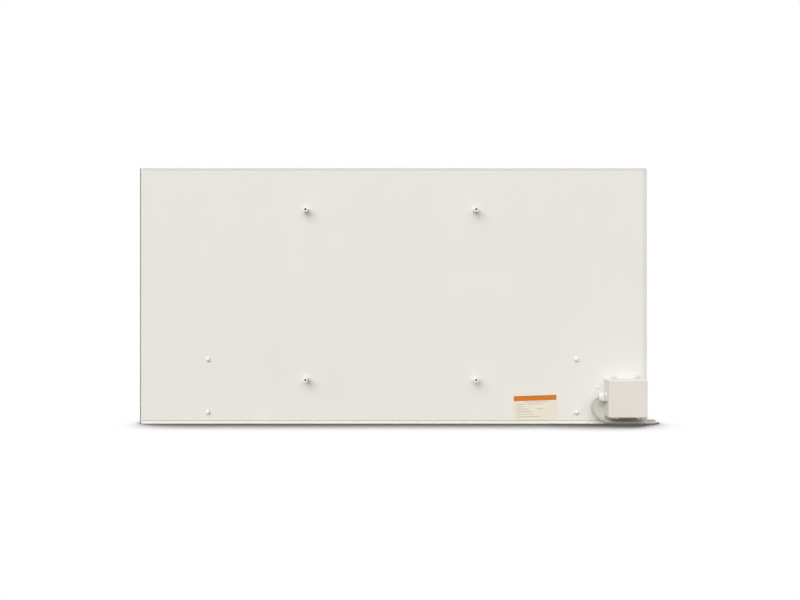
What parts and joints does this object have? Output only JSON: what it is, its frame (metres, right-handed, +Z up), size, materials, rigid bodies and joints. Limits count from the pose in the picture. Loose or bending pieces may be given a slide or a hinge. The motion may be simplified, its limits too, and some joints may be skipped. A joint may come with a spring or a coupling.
{
  "type": "infrared panel heater",
  "caption": "Flat white infrared panel heater with framed edges, a raised rear cover with wall posts, a connection box with cable gland, and a mains flex with plug.",
  "frame": {"origin": "middle of the heater's lower edge on the floor, under the centre of its box without the flex", "axes": "+X along the panel to the box's end, +Y from the box on the rear to the radiating front, +Z up"},
  "size_m": [1.2307, 0.1767, 0.605],
  "materials": {
    "frame_paint": "white powder coat",
    "cover_paint": "off-white powder coat, fine texture",
    "panel_enamel": "white radiant coating, fine grain",
    "post_paint": "white coated steel",
    "zinc_steel": "zinc plated",
    "screw_steel": "zinc plated",
    "cap_plastic": "white moulded",
    "label_film": "satin sticker",
    "box_plastic": "white moulded, fine spark texture",
    "gland_plastic": "white polyamide",
    "rivet_aluminium": "bare",
    "key_aluminium": "cast",
    "heating_film": "carbon layer in film",
    "copper_strip": "bare copper",
    "mica": "pressed mica",
    "foil": "bright foil",
    "mineral_board": "fibrous",
    "grommet_rubber": "matte",
    "terminal_plastic": "moulded polyamide",
    "terminal_brass": "plain",
    "cutout_ceramic": "matte",
    "live_insulation": "brown",
    "neutral_insulation": "blue",
    "earth_insulation": "green and yellow",
    "flex_sheath": "white sheath",
    "tie_plastic": "white strap",
    "plug_plastic": "white moulded",
    "pin_nickel": "nickel plated"
  },
  "bodies": {
    "heater": {"frame_left": "frame_paint", "frame_right": "frame_paint", "frame_top": "frame_paint", "frame_bottom": "frame_paint", "rear_cover": "cover_paint", "front_panel": "panel_enamel", "wall_bush_lower_left": "post_paint", "wall_bush_lower_right": "post_paint", "wall_bush_upper_left": "post_paint", "wall_bush_upper_right": "post_paint", "foot_nuts": "zinc_steel", "bush_plates": "zinc_steel", "cutout_bracket": "zinc_steel", "earth_stud": "zinc_steel", "earth_nut": "zinc_steel", "box_screws": "screw_steel", "lid_screws": "screw_steel", "corner_screws": "screw_steel", "terminal_screws": "screw_steel", "foot_plugs": "cap_plastic", "rating_label": "label_film", "junction_box": "box_plastic", "box_lid": "box_plastic", "gland_body": "gland_plastic", "gland_locknut": "gland_plastic", "cutout_rivet": "rivet_aluminium", "corner_key_bottom_left": "key_aluminium", "corner_key_bottom_right": "key_aluminium", "corner_key_top_left": "key_aluminium", "corner_key_top_right": "key_aluminium", "heating_film": "heating_film", "busbar_live": "copper_strip", "busbar_neutral": "copper_strip", "mica_sheet": "mica", "reflector_foil": "foil", "insulation_board": "mineral_board", "grommet": "grommet_rubber", "gland_seal": "grommet_rubber", "terminal_block": "terminal_plastic", "terminal_sleeves": "terminal_brass", "earth_lug": "terminal_brass", "thermal_cutout": "cutout_ceramic", "core_live": "live_insulation", "live_wire": "live_insulation", "live_film_wire": "live_insulation", "core_neutral": "neutral_insulation", "neutral_wire": "neutral_insulation", "core_earth": "earth_insulation", "earth_wire": "earth_insulation", "flex_entry": "flex_sheath", "flex_lead": "flex_sheath", "flex_coil": "flex_sheath", "flex_tail": "flex_sheath", "cord_tie": "tie_plastic", "plug_body": "plug_plastic", "plug_pins": "pin_nickel", "plug_earth_clips": "pin_nickel"},
    "gland_washer": {"gland_washer": "gland_plastic"},
    "gland_nut": {"gland_nut": "gland_plastic"}
  },
  "joints": [
    {"name": "gland_washer_slide", "type": "slide", "parent": "heater", "child": "gland_washer", "axis": [-1, 0, 0], "range_m": [0, 0.003]},
    {"name": "gland_nut_turn", "type": "hinge", "parent": "gland_washer", "child": "gland_nut", "pos_m": [0.486, -0.01, 0.0645], "axis": [-1, 0, 0], "range_deg": [0, 720]}
  ],
  "couplings": [
    {"joint": "gland_washer_slide", "follows": "gland_nut_turn", "m_per_rad": 0.00023873}
  ]
}
